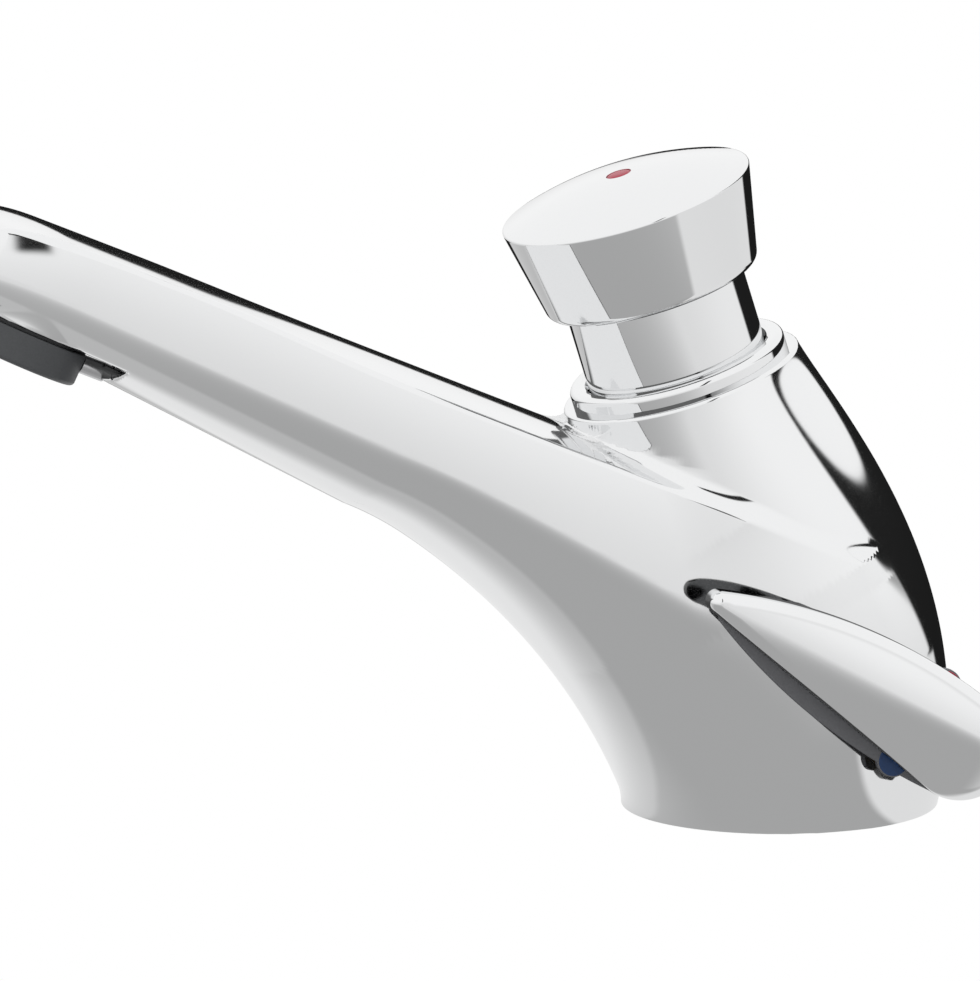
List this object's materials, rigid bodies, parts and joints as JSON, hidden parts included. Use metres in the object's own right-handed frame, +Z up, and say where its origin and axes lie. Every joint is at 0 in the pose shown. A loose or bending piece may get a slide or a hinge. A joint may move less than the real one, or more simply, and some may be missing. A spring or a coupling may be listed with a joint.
{
  "type": "push timed tap",
  "caption": "Deck-mounted self-closing mixer tap: straight rising spout, tilted push head with flared cap, teardrop temperature lever on one side.",
  "frame": {"origin": "centre of the round base on the deck", "axes": "+Z up from the deck, -X towards the spout's end, -Y towards the temperature lever"},
  "size_m": [0.1681, 0.0576, 0.105],
  "materials": {
    "body_chrome": "polished plating on cast brass",
    "trim_chrome": "polished plating on turned or cast brass",
    "rubber": "moulded, matt",
    "cartridge_plastic": "moulded",
    "steel": "stainless, turned",
    "brass": "turned",
    "plate_plastic": "fine grain",
    "aerator_plastic": "fine grain",
    "screen_plastic": "moulded",
    "red_insert": "glossy",
    "blue_insert": "glossy"
  },
  "bodies": {
    "casting": {"tap_body": "body_chrome", "base_gasket": "rubber", "collar_ring": "trim_chrome", "neck_sleeve": "trim_chrome", "cartridge_body": "cartridge_plastic", "cartridge_orings": "rubber", "valve_seat": "steel", "return_spring": "steel", "spindle_bush": "brass", "index_plate": "plate_plastic", "hot_mark": "red_insert", "cold_mark": "blue_insert", "aerator_housing": "aerator_plastic", "aerator_screen": "screen_plastic", "aerator_seal": "rubber", "aerator_lock_screw": "steel"},
    "button": {"push_button": "trim_chrome", "button_mark": "red_insert", "button_nut": "steel", "push_stem": "steel", "seat_washer": "rubber", "timing_piston": "cartridge_plastic", "piston_lip_seal": "rubber"},
    "lever": {"temperature_lever": "trim_chrome", "mixing_spindle": "brass", "spindle_orings": "rubber", "lever_screw": "steel"}
  },
  "joints": [
    {"name": "button_press", "type": "slide", "parent": "casting", "child": "button", "axis": [0.2957, 0, -0.9553], "range_m": [0, 0.008], "stiffness_N_per_m": 800, "springref_m": -0.005, "deforming": ["return_spring"]},
    {"name": "lever_turn", "type": "hinge", "parent": "casting", "child": "lever", "pos_m": [0.0153, -0.0275, 0.017], "axis": [0, -1, 0], "range_deg": [-25, 25]}
  ]
}
